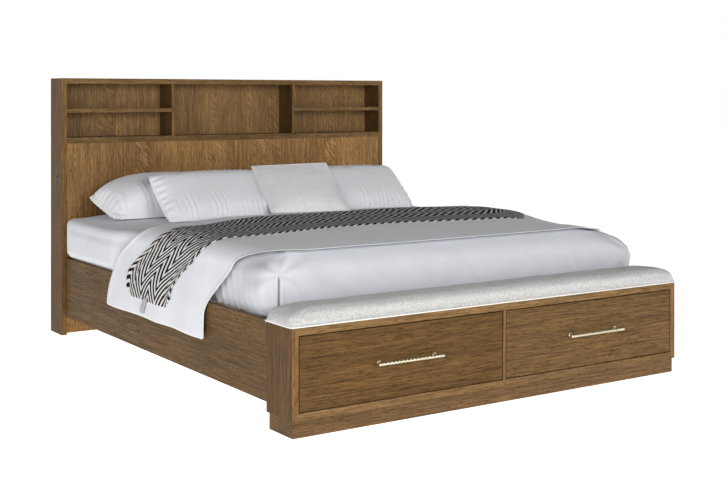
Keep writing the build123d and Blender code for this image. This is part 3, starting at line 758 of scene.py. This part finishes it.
refined = bmesh.new()
refined.from_mesh(duvet.data)
for near, top in ((PLEAT_REACH, 0.60), (0.011, 0.572)):
    near_pleat = [e for e in refined.edges if all(
        v.co.z < top and abs(pleat_side(v.co.x, v.co.y)) < near
        and math.hypot(abs(v.co.x) - PLEAT_X, v.co.y - foot_front - PLEAT_Y) < PLEAT_REACH
        for v in e.verts)]
    bmesh.ops.subdivide_edges(refined, edges=near_pleat, cuts=2, use_grid_fill=True)
refined.to_mesh(duvet.data)
refined.free()
duvet.data.shade_smooth()
co, out = points_of(duvet), normals_of(duvet)
depth = 0.003 + 0.003 * smooth_noise(co, 4.0, 21, 3)
for side in (-1, 1):
    # the pleat that takes up the cloth at each foot corner, and the puckers that fan from it
    across = pleat_side(co[:, 0], co[:, 1])
    level = (1 - step(co[:, 2], 0.535, 0.562)) * step(side * co[:, 0], 0.7, 0.8)
    depth += level * (PLEAT_DEPTH * bell(across, 0, 0.0030) - 0.005 * bell(abs(across), 0.016, 0.013))
    reach = np.hypot(across, co[:, 2] - PLEAT_TOP)
    angle = np.arctan2(co[:, 2] - PLEAT_TOP, across)
    fan = bell(reach, 0.075, 0.045) * step(side * co[:, 0], 0.7, 0.8)
    depth += 0.0032 * fan * np.cos(7 * (angle - math.pi / 2))
# faint slanting puckers over the bench, and tucks that run down the sides
foot_face = 1 - step(co[:, 1], duvet_lo[1], duvet_lo[1] + 0.09)
slant = co[:, 0] * 34 + co[:, 2] * 40 + 2.2 * smooth_noise(co, 3.0, 22)
patch = step(smooth_noise(co * (1, 1, 0.5), 3.2, 25), -0.25, 0.35)
depth += 0.0030 * foot_face * patch * (1 - step(co[:, 2], 0.50, 0.60)) * (1 + np.sin(slant * 1.5))
side_face = step(abs(co[:, 0]), 0.94, 0.975)
folds = np.sin((co[:, 1] + 0.25 * (0.62 - co[:, 2])) * 110 + 3.0 * smooth_noise(co, 2.5, 23))
under = step(co[:, 1], foot_front + 0.40, foot_front + 0.50)
depth += (0.0015 + 0.0055 * under) * side_face * (1 - step(co[:, 2], 0.48, 0.60)) * (1 + folds)
depth += 0.008 * (1 - step(co[:, 2], 0.400, 0.440))
depth -= 0.020 * side_face * (1 - step(co[:, 1], -0.86, -0.70)) * bell(co[:, 2], 0.50, 0.07)
co -= out * depth[:, None]
# the right shoulder lies lower and the cloth there spreads over the frame
co[:, 2] -= right_drop(co[:, 0], co[:, 1]) * step(co[:, 2], 0.40, 0.60)
co[:, 0] += 0.026 * step(co[:, 0], 0.80, 0.95) * (1 - step(co[:, 2], 0.53, 0.62))
put_points(duvet, co)
wall = duvet.modifiers.new("wall", "SOLIDIFY")
wall.thickness, wall.offset = DUVET_WALL, -1
apply_modifiers(duvet)
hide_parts("duvet")
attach(duvet, "bed_frame")


# ------------------------------------------------------------------ coverlet and throw
FLAT, SHOULDER_X, SHOULDER_Z, RAIL_X, HEM_Z = 0.880, 0.988, 0.560, 1.0095, 0.247
TOP_Z = 0.6500
ROUND = [(FLAT + (SHOULDER_X - FLAT) * math.sin(a), SHOULDER_Z + (TOP_Z - SHOULDER_Z) * math.cos(a))
         for a in np.linspace(0, math.pi / 2, 19)]
SECTION = np.array([(0.0, TOP_Z)] + ROUND + [(0.999, 0.490), (1.0080, 0.405), (RAIL_X, 0.375),
                                             (RAIL_X + 0.001, HEM_Z)])
RUN = np.concatenate([[0], np.cumsum(np.linalg.norm(np.diff(SECTION, axis=0), axis=1))])
HALF = RUN[-1]


def cover_place(s, y, lift):
    """Point on the coverlet's outer face, s across from the centre line, raised by lift."""
    arc = abs(s)
    x, z = np.interp(arc, RUN, SECTION[:, 0]), np.interp(arc, RUN, SECTION[:, 1])
    ahead = np.interp(arc + 0.004, RUN, SECTION[:, 0]), np.interp(arc + 0.004, RUN, SECTION[:, 1])
    behind = np.interp(arc - 0.004, RUN, SECTION[:, 0]), np.interp(arc - 0.004, RUN, SECTION[:, 1])
    tx, tz = ahead[0] - behind[0], ahead[1] - behind[1]
    length = np.maximum(np.hypot(tx, tz), 1e-9)
    nx, nz = -tz / length, tx / length
    drop = step(arc, 1.00, HALF)
    co = np.stack([s, y, np.zeros_like(s)], 1)
    wave = 0.005 * drop * (1 + np.sin(y * 17 + 1.4 + 1.6 * smooth_noise(co, 2.0, 31)))
    wave += 0.0025 * (1 + smooth_noise(co, 3.0, 32, 3)) * step(arc, 0.2, 0.9)
    sag = 0.018 * step(y, 0.295, 0.345) * (1 - step(arc, 0.84, 0.95))
    out = lift + wave
    sag += right_drop(s, y) * (1 - step(s, 1.02, 1.25))
    return np.stack([np.sign(s) * (x + nx * out), y, z + nz * out - sag], 1)


def cover_head(s):
    arc = abs(s)
    return foot_front + (1.500 - 0.175 * step(arc, 0.35, 0.93) + 0.250 * step(arc, 0.915, 1.15)
                         + 0.085 * step(arc, 1.12, 1.36))


def cover_foot(s):
    arc = abs(s)
    return (foot_front + 0.225 + 0.235 * step(arc, 0.88, 1.02) + 0.210 * step(arc, 0.98, 1.26)
            + 0.10 * step(s, 0.70, 0.92))


def throw_head(s):
    arc = abs(s - 0.10)
    return foot_front + 1.400 - 0.270 * step(arc, 0.35, 1.06) + 0.300 * step(arc, 1.01, 1.32)


def throw_foot(s):
    arc = abs(s + 0.10)
    return foot_front + 0.805 - 0.120 * step(arc, 0.10, 0.76) + 0.300 * step(arc, 0.78, 1.17)


def sheet_quads(columns, rows):
    """Quads between points laid out column by column, rows + 1 points in each."""
    return [(i * (rows + 1) + j, (i + 1) * (rows + 1) + j, (i + 1) * (rows + 1) + j + 1,
             i * (rows + 1) + j + 1) for i in range(columns) for j in range(rows)]


def laid_sheet(name, half, foot, head, cell, lift, width, material, curl, corner, crease=0.0):
    """A sheet across the bed from -half to half, between the lines foot(s) and head(s).
    Its UVs are metres along it and across it. curl lifts its edges, corner rounds its ends,
    and crease is the height of the fine folds along its foot edge."""
    columns, rows = round(2 * half / cell), round(width / cell)
    s, v = np.meshgrid(np.linspace(-half, half, columns + 1), np.linspace(0, 1, rows + 1),
                       indexing="ij")
    s, v = s.ravel(), v.ravel()
    low, high = foot(s), head(s)
    y = low + v * (high - low)
    side = np.minimum(v, 1 - v) * (high - low)
    lifted = lift + curl * (-0.7 + 1.7 * step(-s, 0.72, 0.98)) * bell(side, 0, 0.020)
    near_foot = (high - low) * v
    lifted += crease * bell(near_foot, 0.105, 0.060) * np.sin(near_foot * 105 + 1.5 * np.sin(s * 3)) * (
        1 - step(abs(s), 0.80, 0.90))
    end = step(1 - np.minimum(side, corner) / max(corner, 1e-6), 0, 1) * corner
    tail = step(abs(s), half - 0.25, half)
    s_in = np.sign(s) * (abs(s) - end * tail * 0.8)
    co = cover_place(s_in, y, lifted)
    made = mesh_object(name, co, sheet_quads(columns, rows), material)
    layer = made.data.uv_layers.new(name="flat")
    flat = np.stack([s, (v - 0.5) * width], 1)
    loops = np.empty(len(made.data.loops), int)
    made.data.loops.foreach_get("vertex_index", loops)
    layer.data.foreach_set("uv", flat[loops].astype(np.float32).ravel())
    return made


def thicken(obj, thickness):
    """Give a sheet its thickness inward from its outer face."""
    made = obj.modifiers.new("thickness", "SOLIDIFY")
    made.thickness, made.offset = thickness, -1
    apply_modifiers(obj)


coverlet = laid_sheet("bed_coverlet", HALF, cover_foot, cover_head, 0.011, 0.0, 1.19,
                      cloth["cover"], 0.004, 0.012, 0.0035)
thicken(coverlet, COVER_THICKNESS)
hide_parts("coverlet")
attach(coverlet, "bed_frame")

blanket = laid_sheet("herringbone_throw", HALF - THROW_HEM_INSET, throw_foot, throw_head, 0.010,
                     0.0042, 0.56, cloth["herringbone"], 0.003, 0.050)
thicken(blanket, THROW_THICKNESS)
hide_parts("throw_blanket")
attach(blanket, "bed_frame")

# the small tab that peeps out below the throw's hem, coloured grey as painted shade
tab_s, tab_v = np.meshgrid(np.linspace(0, 1, 9), np.linspace(0, 1, 5), indexing="ij")
tab_s, tab_v = tab_s.ravel(), tab_v.ravel()
tab_co = cover_place(-(HALF - TAB_START) - TAB_LENGTH * tab_s,
                     foot_front + 1.205 + 0.045 * tab_s + 0.042 * tab_v,
                     0.0035 + 0.005 * np.sin(math.pi * tab_s) * tab_s)
fold_tab = mesh_object("throw_fold_tab", tab_co, sheet_quads(8, 4), cloth["tab"])
thicken(fold_tab, TAB_THICKNESS)
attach(fold_tab, "bed_frame")


# ------------------------------------------------------------------ bench cushion
def sweep_loop(path, radius, sides=10):
    """A round tube along a closed path that lies level: points and quads."""
    path = np.array(path)
    ahead = np.roll(path, -1, 0) - np.roll(path, 1, 0)
    ahead /= np.linalg.norm(ahead, axis=1, keepdims=True)
    across = np.stack([ahead[:, 1], -ahead[:, 0], np.zeros(len(path))], 1)
    angles = np.arange(sides) * 2 * math.pi / sides
    ring = (np.cos(angles)[None, :, None] * across[:, None]
            + np.sin(angles)[None, :, None] * np.array((0, 0, 1.0)))
    co = (path[:, None] + radius * ring).reshape(-1, 3)
    count = len(path)
    quads = [(i * sides + j, ((i + 1) % count) * sides + j,
              ((i + 1) % count) * sides + (j + 1) % sides, i * sides + (j + 1) % sides)
             for i in range(count) for j in range(sides)]
    return co, quads


bench_lo, bench_hi = np.array(bench_low), np.array(bench_high)
bench = rounded_block("bench_pad", bench_lo + (BENCH_INSET, BENCH_INSET, -0.016),
                      bench_hi - (BENCH_INSET, BENCH_INSET, 0.003), BENCH_CELL,
                      lambda co: np.full(len(co), BENCH_RADIUS), cloth["boucle"])
blow_up([bench], 10, 3.0, mass=0.2, cap=0.004)
co = points_of(bench)
share = (co[:, 2] - bench_lo[2]) / (bench_hi[2] - bench_lo[2])
across = (co[:, 1] - bench_lo[1]) / (bench_hi[1] - bench_lo[1])
inward = abs(co[:, 0]) / bench_hi[0]
co[:, 2] += share * (-0.004 - 0.010 * (2 * across - 1) ** 2 - 0.010 * step(inward, 0.88, 1.0))
co[:, 2] += share * 0.0022 * smooth_noise(co, 6.0, 41, 3)
low_edge = 1 - step(share, 0.0, 0.55)
middle_y = (bench_lo[1] + bench_hi[1]) / 2
co[:, 1] = middle_y + (co[:, 1] - middle_y) * (1 + 0.07 * low_edge)
co[:, 0] += np.sign(co[:, 0]) * 0.012 * (1 - step(share, 0.1, 0.9)) * step(inward, 0.9, 1.0)
co[:, 2] = np.maximum(co[:, 2], bench_lo[2] + 0.0015)
put_points(bench, co)
subdivide(bench)
loop = []
reach_x, reach_y, turn_radius = bench_hi[0] + 0.006, bench_hi[1] + 0.005 - middle_y, 0.016
for corner_x, corner_y, start in ((1, 1, 0), (-1, 1, 90), (-1, -1, 180), (1, -1, 270)):
    for k in range(9):
        a = math.radians(start + k * 11.25)
        loop.append((corner_x * (reach_x - turn_radius) + turn_radius * math.cos(a),
                     middle_y + corner_y * (reach_y - turn_radius) + turn_radius * math.sin(a),
                     bench_lo[2] + PIPING_LIFT))
piping_co, piping_faces = sweep_loop(loop, PIPING_RADIUS)
piping = mesh_object("bench_piping", piping_co, piping_faces, cloth["piping"])
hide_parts("bench_cushion")
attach(bench, "bed_frame")
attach(piping, "bed_frame")


# ------------------------------------------------------------------ pull bars
CAP_END, GROOVE_END, RING_END = 0.017, 0.0195, 0.029  # in from the bar's ends
CAP_RADIUS, GROOVE_RADIUS, RING_RADIUS, SHAFT_RADIUS = 0.0078, 0.0046, 0.0080, 0.0076
ROPE_TWIST = 88.0  # radians of twist per metre of bar


def bar_radius(x, half):
    """Radius at x from the bar's middle: cap, groove, ring, shaft."""
    inset = half - abs(x)
    radius = np.where(inset < RING_END, RING_RADIUS, SHAFT_RADIUS)
    radius = np.where(inset < GROOVE_END, GROOVE_RADIUS, radius)
    radius = np.where(inset < CAP_END, CAP_RADIUS, radius)
    return radius * (1 - 0.30 * (1 - np.clip(inset / 0.0015, 0, 1)) ** 2)


def pull_bar(name, centre, half, twist, material):
    """A round bar along X whose middle is fluted like a rope."""
    count, sides = 420, 36
    xs = np.linspace(-half, half, count)
    angles = np.arange(sides) * 2 * math.pi / sides
    xx, aa = np.meshgrid(xs, angles, indexing="ij")
    rope = step(half - abs(xx), 0.0285, 0.0305)
    flute = 1 - 0.23 * rope * np.abs(np.sin(2.0 * (aa + twist * xx)))
    rr = bar_radius(xx, half) * flute
    co = np.stack([centre[0] + xx, centre[1] + rr * np.cos(aa), centre[2] + rr * np.sin(aa)], 2)
    co = co.reshape(-1, 3)
    quads = [(i * sides + j, i * sides + (j + 1) % sides, (i + 1) * sides + (j + 1) % sides,
              (i + 1) * sides + j) for i in range(count - 1) for j in range(sides)]
    quads += [tuple(range(sides))[::-1], tuple((count - 1) * sides + j for j in range(sides))]
    return mesh_object(name, co, quads, material)


for side in ("left", "right"):
    bar_low, bar_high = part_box(f"{side}_drawer_pull_bar")
    middle = (bar_low + bar_high) / 2
    bar = pull_bar(f"{side}_rope_pull", middle, (bar_high.x - bar_low.x) / 2, ROPE_TWIST, brass)
    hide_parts(f"{side}_drawer_pull_bar")
    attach(bar, f"{side}_drawer")


# ------------------------------------------------------------------ floor
floor_surface = Surface("studio_floor", 0.9)
floor_tone = floor_surface.noise(floor_surface.coords(), 0.7, 3.0)
floor_surface.shader.inputs["Emission Color"].default_value = (1, 1, 1, 1)
floor_surface.shader.inputs["Emission Strength"].default_value = 0.95
floor_material = floor_surface.finish(
    floor_surface.mix(floor_tone, (0.93, 0.93, 0.93, 1), (0.97, 0.97, 0.97, 1)))
floor = mesh_object("floor", [(-30, -30, 0), (30, -30, 0), (30, 30, 0), (-30, 30, 0)],
                    [(0, 1, 2, 3)], floor_material, smooth=False)
